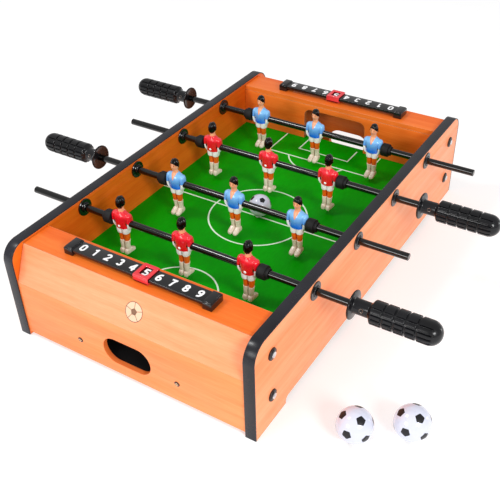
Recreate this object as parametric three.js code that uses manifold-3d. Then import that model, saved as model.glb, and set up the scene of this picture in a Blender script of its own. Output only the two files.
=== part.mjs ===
// Tabletop foosball: a four-rod table on two side panels, with closed goal boxes at both ends.
// Millimetres. +X runs along the rods, +Y along the pitch, +Z up, and the feet stand on Z = 0.
import * as THREE from 'three';
import { mergeVertices } from 'three/addons/utils/BufferGeometryUtils.js';
import Module from 'manifold-3d';

const wasm = await Module();
wasm.setup();

// Driving dimensions
const GAP = 0.3; // between pieces that touch
const LENGTH = 510;
const WIDTH = 305;
const PANEL = { thick: 12, height: 117, cornerR: 20, foot: 57, notch: 8, notchR: 5 };
const BAND_THICK = 1.2;
const INNER_X = WIDTH / 2 - PANEL.thick; // inner face of a side panel
const BOARD_X = INNER_X - GAP; // half length of a board between the panels
const PITCH = { top: 55.6, thick: 4, y: 207, groove: 4 };
const WALL = { y: 198.4, thick: 9 };
const MOUTH = { halfX: 45, top: 100, r: 9 };
const SHELL = { topZ: 113.6, topY: 235.4, bendY: 253.6, bendZ: 73.8, bottomZ: 5, thick: 6 };
const SLOT = { halfX: 30, z: 35, halfZ: 16.5, r: 16 };
const TRAY = { innerZ: 30, outerZ: 17, thick: 4, cheek: 12, cheekY: 231 };
const BOSS = { x: 62, half: 5, height: 20 };

const ROD = { z: 104.4, pitchY: 94.5, r: 4, freeEnd: 210, gripEnd: 250, sides: 16 };
const BORE_R = 4.35; // everything that slips over or holds a rod
const BUSH = { barrelR: 6.5, flangeR: 10.2, flange: 1.8, hubR: 6, hub: 2.5, lip: 1.2 };
const HANDLE = {
  discR: 15, disc: 2.2, start: 196.8, neckR: 7.75, neckStart: 201.8, neckEnd: 215, gripR: 12.2,
  gripStart: 219.5, ring: 11.2, rings: 5, grooveR: 10.6, groove: 1.6, end: 285.5, domeSteps: 5,
};
const PLAYER = { spacing: 81, depth: 0.66, halfX: 12.5, neckR: 3.8, neckZ: 18, bootHalfX: 6.6 };
const HEAD = { halfX: 5, halfY: 5.6, halfZ: 7.9, y: 0.4, z: 23.6 };
const BUMPER = { r: 8, length: 9, collarR: 5.8, collar: 3 };
const RAIL = {
  y: 217.3, halfX: 90.3, block: 10.8, blockHalfY: 9.8, top: 123, barHalfY: 8.7, barTop: 121.3,
  bar: 3.7, digitPitch: 15.9,
};
const SLIDER = {
  halfX: 9, halfY: 10.3, top: 123.3, bottom: 115.4, slack: 0.35, windowX: 9.6, windowY: 12,
};
const CURVE_STEPS = 4; // segments of a rounded corner
const CUT = 1; // how far a cutter runs past the face that it cuts

const WOOD = '#e8873c';
const WOOD_LIGHT = '#f3ab78';
const BLACK = '#17171a';
const COLOURS = {
  wood: [WOOD, 0.45, 0], lightWood: [WOOD_LIGHT, 0.45, 0], band: ['#34323c', 0.4, 0],
  pitch: ['#0a8c10', 0.6, 0], black: [BLACK, 0.35, 0], steel: [BLACK, 0.2, 0.6],
  rubber: ['#141416', 0.7, 0], red: ['#e01226', 0.35, 0], blue: ['#4f9cf0', 0.35, 0],
  white: ['#f2f2f4', 0.3, 0],
};

// Geometry helpers
const ALONG_X = new THREE.Matrix4().makeBasis(
  new THREE.Vector3(0, 1, 0), new THREE.Vector3(0, 0, 1), new THREE.Vector3(1, 0, 0));
const ALONG_Y = new THREE.Matrix4().makeBasis(
  new THREE.Vector3(1, 0, 0), new THREE.Vector3(0, 0, 1), new THREE.Vector3(0, -1, 0));
const LATHE_X = new THREE.Matrix4().makeBasis(
  new THREE.Vector3(0, 0, 1), new THREE.Vector3(1, 0, 0), new THREE.Vector3(0, 1, 0));

// A closed solid from any three.js geometry: shared vertices, no empty triangles, faces out.
function solid(geometry) {
  const bare = new THREE.BufferGeometry();
  bare.setAttribute('position', geometry.getAttribute('position'));
  if (geometry.index) bare.setIndex(geometry.index);
  const merged = mergeVertices(bare, 1e-4);
  const p = merged.getAttribute('position');
  const corner = [0, 1, 2].map(() => new THREE.Vector3());
  const faces = [];
  let volume = 0;
  for (let i = 0; i < merged.index.count; i += 3) {
    const [a, b, c] = [0, 1, 2].map((k) => merged.index.getX(i + k));
    if (a === b || b === c || c === a) continue;
    [a, b, c].forEach((v, k) => corner[k].fromBufferAttribute(p, v));
    volume += corner[0].dot(corner[1].clone().cross(corner[2]));
    faces.push([a, b, c]);
  }
  const turned = volume < 0 ? faces.map(([a, b, c]) => [a, c, b]) : faces;
  return new wasm.Manifold(new wasm.Mesh({
    numProp: 3, vertProperties: new Float32Array(p.array), triVerts: new Uint32Array(turned.flat()),
  }));
}

function geometryOf(body) {
  const mesh = body.getMesh();
  const geometry = new THREE.BufferGeometry();
  geometry.setAttribute('position', new THREE.Float32BufferAttribute(mesh.vertProperties, 3));
  geometry.setIndex(Array.from(mesh.triVerts));
  return geometry;
}

function outline(points) {
  return new THREE.Shape(points.map(([a, b]) => new THREE.Vector2(a, b)));
}

function extruded(shape, depth) {
  return new THREE.ExtrudeGeometry(shape, { depth, bevelEnabled: false, curveSegments: CURVE_STEPS });
}

// A (y, z) outline pushed along X from x0 to x1.
function prismX(shape, x0, x1) {
  const geometry = extruded(shape, x1 - x0);
  return solid(geometry.translate(0, 0, x0).applyMatrix4(ALONG_X));
}

// An (x, z) outline pushed along Y from y0 to y1.
function prismY(shape, y0, y1) {
  const geometry = extruded(shape, y1 - y0);
  return solid(geometry.translate(0, 0, -y1).applyMatrix4(ALONG_Y));
}

function block(x0, x1, y0, y1, z0, z1) {
  const geometry = new THREE.BoxGeometry(x1 - x0, y1 - y0, z1 - z0);
  return solid(geometry.translate((x0 + x1) / 2, (y0 + y1) / 2, (z0 + z1) / 2));
}

// A closed [radius, x] profile turned about the X axis.
function turned(profile, sides = 12) {
  const points = profile.map(([r, x]) => new THREE.Vector2(r, x));
  return solid(new THREE.LatheGeometry(points, sides).applyMatrix4(LATHE_X));
}

function shaft(r, x0, x1, sides = ROD.sides) {
  return turned([[0, x0], [r, x0], [r, x1], [0, x1]], sides);
}

function roundedBox(halfX, z, halfZ, r) {
  const shape = new THREE.Shape();
  shape.absarc(halfX - r, z + halfZ - r, r, 0, Math.PI / 2);
  shape.absarc(r - halfX, z + halfZ - r, r, Math.PI / 2, Math.PI);
  shape.absarc(r - halfX, z - halfZ + r, r, Math.PI, Math.PI * 1.5);
  shape.absarc(halfX - r, z - halfZ + r, r, Math.PI * 1.5, Math.PI * 2);
  return shape;
}

const table = new THREE.Group();

function add(name, body, colour, parent = table) {
  const [color, roughness, metalness] = COLOURS[colour];
  const material = new THREE.MeshStandardMaterial({ color, roughness, metalness });
  const mesh = new THREE.Mesh(geometryOf(body), material);
  mesh.name = name;
  parent.add(mesh);
  return mesh;
}

// Side panels: feet at both ends, rounded top corners and a plastic edge band
function panelOutline(inset, bottom) {
  const y = LENGTH / 2 - inset;
  const z = PANEL.height - inset;
  const r = PANEL.cornerR - inset;
  const shape = new THREE.Shape();
  shape.moveTo(y, bottom);
  shape.lineTo(y, z - r);
  shape.absarc(y - r, z - r, r, 0, Math.PI / 2);
  shape.absarc(r - y, z - r, r, Math.PI / 2, Math.PI);
  shape.lineTo(-y, bottom);
  return shape;
}

function boardOutline() {
  const shape = panelOutline(BAND_THICK + GAP, 0);
  const foot = LENGTH / 2 - PANEL.foot;
  shape.lineTo(-foot, 0);
  shape.lineTo(-foot, PANEL.notch - PANEL.notchR);
  shape.absarc(PANEL.notchR - foot, PANEL.notch - PANEL.notchR, PANEL.notchR, Math.PI, Math.PI / 2, true);
  shape.absarc(foot - PANEL.notchR, PANEL.notch - PANEL.notchR, PANEL.notchR, Math.PI / 2, 0, true);
  shape.lineTo(foot, 0);
  return shape;
}

const rodY = [-1.5, -0.5, 0.5, 1.5].map((step) => step * ROD.pitchY);
for (const [side, sign] of [['left', -1], ['right', 1]]) {
  const x = [sign * INNER_X, sign * WIDTH / 2].sort((a, b) => a - b);
  let board = prismX(boardOutline(), ...x);
  for (const y of rodY) {
    board = board.subtract(shaft(BUSH.barrelR + GAP, x[0] - CUT, x[1] + CUT).translate(0, y, ROD.z));
  }
  const groove = [sign * (INNER_X - CUT), sign * (INNER_X + PITCH.groove)].sort((a, b) => a - b);
  board = board.subtract(
    block(...groove, -PITCH.y - GAP, PITCH.y + GAP, PITCH.top - PITCH.thick - GAP, PITCH.top + GAP));
  add(`side_panel_${side}`, board, 'lightWood');
  const inside = prismX(panelOutline(BAND_THICK, -GAP), x[0] - CUT, x[1] + CUT);
  add(`edge_band_${side}`, prismX(panelOutline(0, GAP), ...x).subtract(inside), 'band');
}

// The pitch slides in a groove of each side panel
const pitchX = INNER_X + PITCH.groove - GAP;
add('pitch_board', block(-pitchX, pitchX, -PITCH.y, PITCH.y, PITCH.top - PITCH.thick, PITCH.top), 'pitch');

// Goal boxes: the shell's boards follow an outer line of four points and meet in mitres
function offsetLine(points, inward) {
  const normals = points.slice(1).map(([y, z], i) => {
    const [dy, dz] = [y - points[i][0], z - points[i][1]];
    const size = Math.hypot(dy, dz);
    return [dz / size, -dy / size];
  });
  return points.map(([y, z], i) => {
    const before = normals[Math.max(i - 1, 0)];
    const after = normals[Math.min(i, normals.length - 1)];
    const scale = inward / (1 + before[0] * after[0] + before[1] * after[1]);
    return [y + (before[0] + after[0]) * scale, z + (before[1] + after[1]) * scale];
  });
}

const shellOuter = [
  [WALL.y, SHELL.topZ], [SHELL.topY, SHELL.topZ], [SHELL.bendY, SHELL.bendZ], [SHELL.bendY, SHELL.bottomZ]];
const shellInner = offsetLine(shellOuter, SHELL.thick);
const SHELL_BOARDS = ['top_board', 'sloped_board', 'end_board'];

function shellBoard(index) {
  const [a, b] = [index, index + 1];
  const shorten = ([y0, z0], [y1, z1]) => {
    const step = GAP / 2 / Math.hypot(y1 - y0, z1 - z0);
    return [y0 + (y1 - y0) * step, z0 + (z1 - z0) * step];
  };
  return outline([
    shorten(shellOuter[a], shellOuter[b]), shorten(shellOuter[b], shellOuter[a]),
    shorten(shellInner[b], shellInner[a]), shorten(shellInner[a], shellInner[b])]);
}

function goalWall() {
  const top = SHELL.topZ - SHELL.thick - GAP;
  const shape = new THREE.Shape();
  shape.moveTo(BOARD_X, PITCH.top + GAP);
  shape.lineTo(BOARD_X, top);
  shape.lineTo(-BOARD_X, top);
  shape.lineTo(-BOARD_X, PITCH.top + GAP);
  shape.lineTo(-MOUTH.halfX, PITCH.top + GAP);
  shape.absarc(MOUTH.r - MOUTH.halfX, MOUTH.top - MOUTH.r, MOUTH.r, Math.PI, Math.PI / 2, true);
  shape.absarc(MOUTH.halfX - MOUTH.r, MOUTH.top - MOUTH.r, MOUTH.r, Math.PI / 2, 0, true);
  shape.lineTo(MOUTH.halfX, PITCH.top + GAP);
  return prismY(shape, WALL.y, WALL.y + WALL.thick);
}

// The tray leads the ball from the goal mouth to the slot; its cheeks take the side bolts and
// its two bosses take the small screws of the end board.
function ballTray() {
  const inner = WALL.y + WALL.thick + 1;
  const outer = SHELL.bendY - SHELL.thick - GAP;
  const floor = outline([
    [inner, TRAY.innerZ], [inner, TRAY.innerZ - TRAY.thick], [outer, TRAY.outerZ - TRAY.thick],
    [outer, TRAY.outerZ]]);
  const cheekTop = SHELL.topZ - SHELL.thick - GAP;
  let body = prismX(floor, -BOARD_X, BOARD_X);
  for (const sign of [-1, 1]) {
    const x = [sign * (BOARD_X - TRAY.cheek), sign * BOARD_X].sort((a, b) => a - b);
    body = body.add(block(...x, inner, TRAY.cheekY, TRAY.outerZ - TRAY.thick, cheekTop));
    const boss = sign * BOSS.x;
    body = body.add(block(boss - BOSS.half, boss + BOSS.half, TRAY.cheekY, outer,
      TRAY.outerZ, TRAY.outerZ + BOSS.height));
  }
  return body;
}

for (const [end, turn] of [['near', Math.PI], ['far', 0]]) {
  const box = new THREE.Group();
  box.rotation.z = turn;
  table.add(box);
  add(`goal_wall_${end}`, goalWall(), 'wood', box);
  SHELL_BOARDS.forEach((name, index) => {
    let board = prismX(shellBoard(index), -BOARD_X, BOARD_X);
    if (name === 'end_board') {
      const slot = roundedBox(SLOT.halfX, SLOT.z, SLOT.halfZ, SLOT.r);
      board = board.subtract(prismY(slot, SHELL.bendY - SHELL.thick - CUT, SHELL.bendY + CUT));
    }
    add(`${name}_${end}`, board, index ? 'lightWood' : 'wood', box);
  });
  add(`ball_tray_${end}`, ballTray(), 'black', box);
}

// Bushings: one through each panel for each rod, with a flange on both faces
function bushing() {
  const inside = INNER_X - GAP;
  const outside = WIDTH / 2 + GAP;
  return turned([
    [BORE_R, inside - BUSH.flange - BUSH.hub], [BORE_R + BUSH.lip, inside - BUSH.flange - BUSH.hub],
    [BUSH.hubR, inside - BUSH.flange], [BUSH.flangeR, inside - BUSH.flange], [BUSH.flangeR, inside],
    [BUSH.barrelR, inside], [BUSH.barrelR, outside], [BUSH.flangeR, outside],
    [BUSH.flangeR, outside + BUSH.flange / 2], [BUSH.hubR, outside + BUSH.flange],
    [BORE_R, outside + BUSH.flange], [BORE_R, inside - BUSH.flange - BUSH.hub]]);
}

// Handle along +X: a hand-stop disc, a neck, five ringed blocks and a round end
function handle() {
  const h = HANDLE;
  const profile = [
    [BORE_R, h.start + 1], [h.neckR, h.start], [h.discR - 1, h.start - 0.6], [h.discR, h.start + 0.4],
    [h.discR - 0.6, h.start + h.disc], [h.neckR + 0.6, h.start + h.disc + 0.6], [h.neckR, h.neckStart],
    [h.neckR, h.neckEnd], [h.gripR - 1, h.gripStart - 1.5], [h.gripR, h.gripStart]];
  for (let ring = 1; ring < h.rings; ring += 1) {
    const x = h.gripStart + ring * h.ring;
    profile.push([h.gripR, x - h.groove / 2], [h.grooveR, x], [h.gripR, x + h.groove / 2]);
  }
  const domeStart = h.end - h.gripR;
  for (let step = 0; step < h.domeSteps; step += 1) {
    const angle = (step / h.domeSteps) * Math.PI / 2;
    profile.push([h.gripR * Math.cos(angle), domeStart + h.gripR * Math.sin(angle)]);
  }
  profile.push([0, h.end], [0, ROD.gripEnd + 1], [BORE_R, ROD.gripEnd + 1], [BORE_R, h.start + 1]);
  return turned(profile);
}

// Player about the rod's axis, facing +Y, feet down: [half width, height] up the body, and the
// boots' (y, z) outline from heel to toe
const BODY_PROFILE = [
  [0, -38], [5.2, -38], [5.6, -25], [6.2, -14.6], [7.6, -14.2], [8.6, -6.8], [9.4, -5.8],
  [PLAYER.halfX, 2.5], [PLAYER.halfX, 8], [10.4, 12], [4.2, 14.5], [PLAYER.neckR, PLAYER.neckZ],
  [0, PLAYER.neckZ]];
const BOOTS = [[-5.5, -42.2], [9.5, -42.2], [9.8, -39.5], [4.2, -34.5], [-4.5, -34.5]];

function player() {
  const points = BODY_PROFILE.map(([r, z]) => new THREE.Vector2(r, z));
  const figure = new THREE.LatheGeometry(points, 10).rotateX(Math.PI / 2).scale(1, PLAYER.depth, 1);
  const head = new THREE.SphereGeometry(1, 8, 6).rotateX(Math.PI / 2);
  head.scale(HEAD.halfX, HEAD.halfY, HEAD.halfZ).translate(0, HEAD.y, HEAD.z);
  return solid(figure).add(solid(head))
    .add(prismX(outline(BOOTS), -PLAYER.bootHalfX, PLAYER.bootHalfX))
    .subtract(shaft(BORE_R, -PLAYER.halfX - CUT, PLAYER.halfX + CUT, 10));
}

function bumper() {
  const b = BUMPER;
  return turned([
    [BORE_R, 0], [b.r - 0.6, 0], [b.r, 0.8], [b.r, b.length], [b.collarR, b.length + 0.4],
    [b.collarR, b.length + b.collar], [BORE_R, b.length + b.collar], [BORE_R, 0]]);
}

// Rods from the near end: each stands off centre by its own amount, and handles alternate
const RODS = [
  { team: 'red', slid: -4.4, handle: 'right' }, { team: 'blue', slid: -0.7, handle: 'left' },
  { team: 'red', slid: -12.4, handle: 'right' }, { team: 'blue', slid: 1.4, handle: 'left' }];
RODS.forEach((spec, index) => {
  const n = index + 1;
  const facing = spec.handle === 'right' ? 0 : Math.PI;
  for (const [side, turn] of [['left', Math.PI], ['right', 0]]) {
    const bush = add(`bushing_${n}_${side}`, bushing(), 'black');
    bush.rotation.z = turn;
    bush.position.set(0, rodY[index], ROD.z);
  }
  const assembly = new THREE.Group();
  assembly.position.set(spec.slid, rodY[index], ROD.z);
  assembly.rotation.z = facing;
  table.add(assembly);
  add(`rod_${n}`, shaft(ROD.r, -ROD.freeEnd, ROD.gripEnd), 'steel', assembly);
  add(`handle_${n}`, handle(), 'black', assembly);
  ['a', 'b', 'c'].forEach((letter, place) => {
    const figure = add(`player_${spec.team}_${n}${letter}`, player(), spec.team, assembly);
    figure.position.x = (place - 1) * PLAYER.spacing;
  });
  for (const [end, turn] of [['inner', 0], ['outer', Math.PI]]) {
    const ring = add(`bumper_${n}_${end}`, bumper(), 'rubber', assembly);
    ring.rotation.z = turn;
    ring.position.x = (turn ? -1 : 1) * (PLAYER.spacing + PLAYER.halfX + GAP);
  }
});

// Score rails: a raised number bar between two end blocks, and a slider that wraps the bar
function scoreRail() {
  const r = RAIL;
  const base = SHELL.topZ + GAP;
  const bar = block(-r.halfX + 1, r.halfX - 1, -r.barHalfY, r.barHalfY, r.barTop - r.bar, r.barTop);
  return [-1, 1].reduce((body, sign) => {
    const x = [sign * (r.halfX - r.block), sign * r.halfX].sort((a, b) => a - b);
    return body.add(block(...x, -r.blockHalfY, r.blockHalfY, base, r.top));
  }, bar);
}

function scoreSlider() {
  const s = SLIDER;
  const [x, y] = [s.halfX + CUT, RAIL.barHalfY + s.slack];
  const tunnel = block(-x, x, -y, y, RAIL.barTop - RAIL.bar - s.slack, RAIL.barTop + s.slack);
  const window = block(
    -s.windowX / 2, s.windowX / 2, -s.windowY / 2, s.windowY / 2, RAIL.barTop, s.top + CUT);
  return block(-s.halfX, s.halfX, -s.halfY, s.halfY, s.bottom, s.top).subtract(tunnel).subtract(window);
}

for (const [end, turn] of [['near', 0], ['far', Math.PI]]) {
  const rail = new THREE.Group();
  rail.rotation.z = turn;
  rail.position.y = turn ? RAIL.y : -RAIL.y;
  table.add(rail);
  add(`score_rail_${end}`, scoreRail(), 'black', rail);
  add(`score_slider_${end}`, scoreSlider(), 'red', rail).position.x = RAIL.digitPitch / 2;
}

// Balls: one on the pitch and two spare ones beside the table
const BALLS = {
  field: { r: 13.5, x: 1, y: 4, floor: PITCH.top + GAP },
  spare_1: { r: 18, x: 229, y: -203, floor: 0 },
  spare_2: { r: 18, x: 274, y: -173, floor: 0 },
};
for (const [name, { r, x, y, floor }] of Object.entries(BALLS)) {
  const ball = new THREE.SphereGeometry(r, 16, 12).rotateX(Math.PI / 2);
  add(`ball_${name}`, solid(ball), 'white').position.set(x, y, floor + r);
}

export default table;
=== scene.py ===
"""Tabletop foosball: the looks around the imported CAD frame. Lengths are metres, written with MM."""
import math

import bmesh
import bpy
from mathutils import Euler, Matrix, Vector


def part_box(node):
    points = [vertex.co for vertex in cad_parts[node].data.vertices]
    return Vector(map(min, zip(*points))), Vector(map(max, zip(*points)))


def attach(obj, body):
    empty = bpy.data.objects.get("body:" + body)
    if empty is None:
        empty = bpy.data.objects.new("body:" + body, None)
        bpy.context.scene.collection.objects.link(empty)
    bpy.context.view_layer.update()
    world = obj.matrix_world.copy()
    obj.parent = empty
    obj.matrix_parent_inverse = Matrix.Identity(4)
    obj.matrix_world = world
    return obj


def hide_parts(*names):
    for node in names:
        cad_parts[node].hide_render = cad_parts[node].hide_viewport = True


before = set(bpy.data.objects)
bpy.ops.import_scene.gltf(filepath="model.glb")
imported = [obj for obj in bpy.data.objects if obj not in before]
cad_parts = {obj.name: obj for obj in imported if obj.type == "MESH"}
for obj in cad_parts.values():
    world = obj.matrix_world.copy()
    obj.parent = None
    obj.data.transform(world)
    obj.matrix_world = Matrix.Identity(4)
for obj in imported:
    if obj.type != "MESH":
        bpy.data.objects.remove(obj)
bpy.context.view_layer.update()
scene = bpy.context.scene
MM = 0.001
TAU = 2 * math.pi

# ---- camera, light and floor
CAMERA_AT = Vector((416.2, -664.8, 590.6)) * MM
CAMERA_LOOK = Vector((-0.43424, 0.67344, -0.59826))
CAMERA_ROLL = 0.0292
LENS_MM = 56.69
SENSOR_MM = 36
LIGHT_AIM = Vector((0, 0, 0.06))
LIGHTS = {  # name: (place, diameter, watts)
    "key_right": ((1.5, -0.9, 1.0), 0.6, 18),
    "fill_front": ((-0.5, -1.9, 0.9), 0.7, 10),
    "top": ((-0.86, -0.6, 1.7), 0.34, 10),
    "rim_right": ((1.6, 1.25, 0.25), 0.3, 2.5),
}
WORLD_STRENGTH = 0.6
FLOOR_HALF = 6.0
FLOOR_GAP = 0.2 * MM


def make_camera():
    data = bpy.data.cameras.new("camera")
    data.lens = LENS_MM
    data.sensor_width = SENSOR_MM
    data.clip_start = 0.01
    camera = bpy.data.objects.new("camera", data)
    scene.collection.objects.link(camera)
    turn = CAMERA_LOOK.to_track_quat("-Z", "Y").to_matrix().to_4x4()
    roll = Matrix.Rotation(CAMERA_ROLL, 4, CAMERA_LOOK)
    camera.matrix_world = Matrix.Translation(CAMERA_AT) @ roll @ turn
    scene.camera = camera


def area_light(name, at, size, watts):
    data = bpy.data.lights.new(name, "AREA")
    data.shape = "DISK"
    data.size = size
    data.energy = watts
    lamp = bpy.data.objects.new(name, data)
    scene.collection.objects.link(lamp)
    lamp.location = at
    lamp.rotation_euler = (LIGHT_AIM - Vector(at)).to_track_quat("-Z", "Y").to_euler()


def make_studio():
    world = bpy.data.worlds.new("studio")
    world.use_nodes = True
    background = world.node_tree.nodes["Background"]
    background.inputs["Color"].default_value = (1, 1, 1, 1)
    background.inputs["Strength"].default_value = WORLD_STRENGTH
    scene.world = world
    for name, (at, size, watts) in LIGHTS.items():
        area_light(name, at, size, watts)
    scene.view_settings.view_transform = "Standard"
    bm = bmesh.new()
    bmesh.ops.create_grid(bm, x_segments=4, y_segments=4, size=FLOOR_HALF)
    floor = link_mesh("floor", bm, ("floor",))
    floor.location.z = -FLOOR_GAP


# ---- material nodes
def linear(code):
    """A #rrggbb colour as linear RGBA."""
    parts = [int(code[i:i + 2], 16) / 255 for i in (1, 3, 5)]
    return tuple(c / 12.92 if c <= 0.04045 else ((c + 0.055) / 1.055) ** 2.4 for c in parts) + (1.0,)


class Finish:
    """A Principled material with the few node patterns that every finish here is made of."""

    def __init__(self, name, **sockets):
        self.material = bpy.data.materials.new(name)
        self.material.use_nodes = True
        self.tree = self.material.node_tree
        self.shader = self.tree.nodes["Principled BSDF"]
        self.place = self.node("TexCoord").outputs["Object"]
        for socket, value in sockets.items():
            self.shader.inputs[socket.replace("_", " ").title().replace("Ior", "IOR")].default_value = value

    def node(self, kind, settings=(), **inputs):
        made = self.tree.nodes.new("ShaderNode" + kind)
        for key, value in dict(settings).items():
            setattr(made, key, value)
        for key, value in inputs.items():
            self.feed(made.inputs[key.replace("_", " ")], value)
        return made

    def feed(self, socket, value):
        """Links an output to a socket, or sets the socket to a number, a vector or a #rrggbb colour."""
        if isinstance(value, bpy.types.NodeSocket):
            self.tree.links.new(value, socket)
        else:
            socket.default_value = linear(value) if isinstance(value, str) else value

    def stretched(self, scale):
        return self.node("Mapping", Vector=self.place, Scale=scale).outputs[0]

    def noise(self, scale, detail=3.0, where=None, roughness=0.5, distortion=0.0):
        return self.node("TexNoise", Vector=where or self.place, Scale=scale, Detail=detail,
                         Roughness=roughness, Distortion=distortion).outputs["Fac"]

    def span(self, value, low, high, to_low=0.0, to_high=1.0):
        made = self.node("MapRange", Value=value)
        for index, number in zip((1, 2, 3, 4), (low, high, to_low, to_high)):
            made.inputs[index].default_value = number
        return made.outputs[0]

    def math(self, how, first, second=0.0):
        made = self.node("Math", {"operation": how})
        self.feed(made.inputs[0], first)
        self.feed(made.inputs[1], second)
        return made.outputs[0]

    def mixed(self, amount, first, second):
        made = self.node("Mix", {"data_type": "RGBA"})
        for index, value in zip((0, 6, 7), (amount, first, second)):
            self.feed(made.inputs[index], value)
        return made.outputs[2]

    def edges(self, reach=0.0007):
        """1 along edges and corners, where a finish wears."""
        rounded = self.node("Bevel", {"samples": 4}, Radius=reach).outputs[0]
        flat = self.node("NewGeometry").outputs["Normal"]
        made = self.node("VectorMath", {"operation": "DOT_PRODUCT"})
        self.feed(made.inputs[0], rounded)
        self.feed(made.inputs[1], flat)
        return self.span(made.outputs["Value"], 0.99, 0.85)

    def colour(self, value):
        self.feed(self.shader.inputs["Base Color"], value)

    def rough(self, value):
        self.feed(self.shader.inputs["Roughness"], value)

    def bump(self, *layers):
        """layers are (height, strength, distance in metres), each laid over the last."""
        normal = None
        for height, strength, distance in layers:
            made = self.node("Bump", Height=height, Strength=strength, Distance=distance)
            if normal:
                self.feed(made.inputs["Normal"], normal)
            normal = made.outputs[0]
        self.feed(self.shader.inputs["Normal"], normal)
        return self.material


def floor_finish():
    finish = Finish("floor_paper", specular_ior_level=0.1, emission_color=(1, 1, 1, 1),
                    emission_strength=0.46)
    tone = finish.noise(3.0)
    finish.colour(finish.mixed(finish.span(tone, 0.3, 0.7), "#cfcfcf", "#d4d4d4"))
    finish.rough(finish.span(tone, 0, 1, 0.7, 0.85))
    return finish.bump((finish.noise(400.0), 0.02, 0.0002))


def veneer(name, pale, deep, along):
    """Beech-look veneer under satin lacquer, with its grain along one axis."""
    across = {"X": (3, 60, 60), "Y": (60, 3, 60), "Z": (60, 60, 3)}[along]
    finish = Finish(name, coat_weight=0.1, coat_roughness=0.22, specular_ior_level=0.25)
    where = finish.stretched(across)
    broad = finish.noise(0.45, 2.0, where, distortion=0.4)
    streak = finish.noise(2.2, 5.0, where, 0.62, 0.3)
    fibre = finish.noise(16.0, 3.0, where, 0.6)
    cloud = finish.noise(6.0, 2.0)
    tone = 0.5
    for layer, depth in ((broad, 0.28), (streak, 0.2), (fibre, 0.16), (cloud, 0.12)):
        tone = finish.math("ADD", tone, finish.span(layer, 0.3, 0.7, -depth, depth))
    wood = finish.mixed(tone, pale, deep)
    pores = finish.span(finish.noise(26.0, 2.0, finish.stretched([s * 1.6 for s in across])), 0.66, 0.74)
    wood = finish.mixed(finish.math("MULTIPLY", pores, 0.5), wood, deep)
    worn = finish.math("MULTIPLY", finish.edges(), finish.span(cloud, 0.35, 0.65, 0.1, 0.6))
    finish.colour(finish.mixed(worn, wood, "#fbd0a6"))
    finish.rough(finish.span(streak, 0.25, 0.75, 0.34, 0.5))
    return finish.bump((fibre, 0.12, 0.00012), (finish.noise(14.0, 2.0), 0.05, 0.0006))


def plastic(name, base, worn, rough=(0.3, 0.42), grain=900.0, depth=0.00004, coat=0, spec=0.5, metallic=0):
    """Moulded plastic, paint or metal: fine grain, faint tone drift, worn edges and uneven gloss."""
    finish = Finish(name, coat_weight=coat, specular_ior_level=spec, metallic=metallic)
    tone = finish.mixed(finish.span(finish.noise(22.0), 0.3, 0.7, 0, 0.5), base, worn)
    finish.colour(finish.mixed(finish.math("MULTIPLY", finish.edges(), 0.4), tone, worn))
    finish.rough(finish.span(finish.noise(60.0, 4.0), 0.3, 0.7, *rough))
    return finish.bump((finish.noise(grain, 2.0), 0.25, depth), (finish.noise(90.0, 2.0), 0.1, 0.0001))


def enamel(name):
    """Black enamel on a drawn steel rod, with fine marks along and around it."""
    finish = Finish(name, coat_weight=0.7, coat_roughness=0.04, specular_ior_level=0.15)
    scratch = finish.noise(30.0, 4.0, finish.stretched((4, 60, 60)), 0.7)
    finish.colour(finish.mixed(finish.span(scratch, 0.62, 0.75, 0, 0.35), "#050505", "#2c2c30"))
    finish.rough(finish.span(scratch, 0.3, 0.7, 0.1, 0.22))
    return finish.bump((scratch, 0.02, 0.00003), (finish.noise(45.0, 2.0), 0.02, 0.0002))


def turf(name):
    """The pitch's printed foil: an even green with faint mown tones and a satin surface."""
    finish = Finish(name, specular_ior_level=0.08)
    cloud = finish.noise(9.0, 3.0)
    blade = finish.noise(300.0, 4.0, finish.stretched((1, 0.35, 1)))
    tone = finish.mixed(finish.span(cloud, 0.3, 0.7), "#008e00", "#02a600")
    finish.colour(finish.mixed(finish.span(blade, 0.35, 0.65, 0, 0.2), tone, "#007400"))
    finish.rough(finish.span(cloud, 0.3, 0.7, 0.42, 0.55))
    return finish.bump((blade, 0.1, 0.00008))


def shirt_paint(name, top, bottom, fold):
    """Glossy shirt paint that runs from top to bottom of the figure's own height."""
    finish = Finish(name, coat_weight=0.5, coat_roughness=0.12, specular_ior_level=0.5)
    height = finish.node("SeparateXYZ", Vector=finish.place).outputs[2]
    uneven = finish.math("ADD", height, finish.span(finish.noise(120.0, 2.0), 0.3, 0.7, -0.0015, 0.0015))
    run = finish.mixed(finish.span(uneven, -0.005, 0.008), bottom, top)
    crease = finish.noise(160.0, 3.0, finish.stretched((1, 1, 0.5)))
    finish.colour(finish.mixed(finish.span(crease, 0.52, 0.75, 0, 0.45), run, fold))
    finish.rough(finish.span(crease, 0.3, 0.7, 0.2, 0.34))
    return finish.bump((crease, 0.35, 0.0004))


def figure_paint(name, base, shade, rough=(0.26, 0.4), coat_roughness=0.18, spec=0.5):
    """Hand-painted moulded figure, darker in the hollows with painted shade."""
    finish = Finish(name, coat_weight=0.3, coat_roughness=coat_roughness, specular_ior_level=spec)
    pool = finish.noise(180.0, 3.0)
    # painted shade: the shade colour laid into concave places, where shadow would fall
    hollow = finish.span(finish.node("NewGeometry").outputs["Pointiness"], 0.5, 0.42)
    tone = finish.mixed(finish.span(pool, 0.42, 0.72, 0, 0.45), base, shade)
    finish.colour(finish.mixed(finish.math("MULTIPLY", hollow, 0.7), tone, shade))
    finish.rough(finish.span(pool, 0.3, 0.7, *rough))
    return finish.bump((pool, 0.15, 0.00015))


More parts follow.
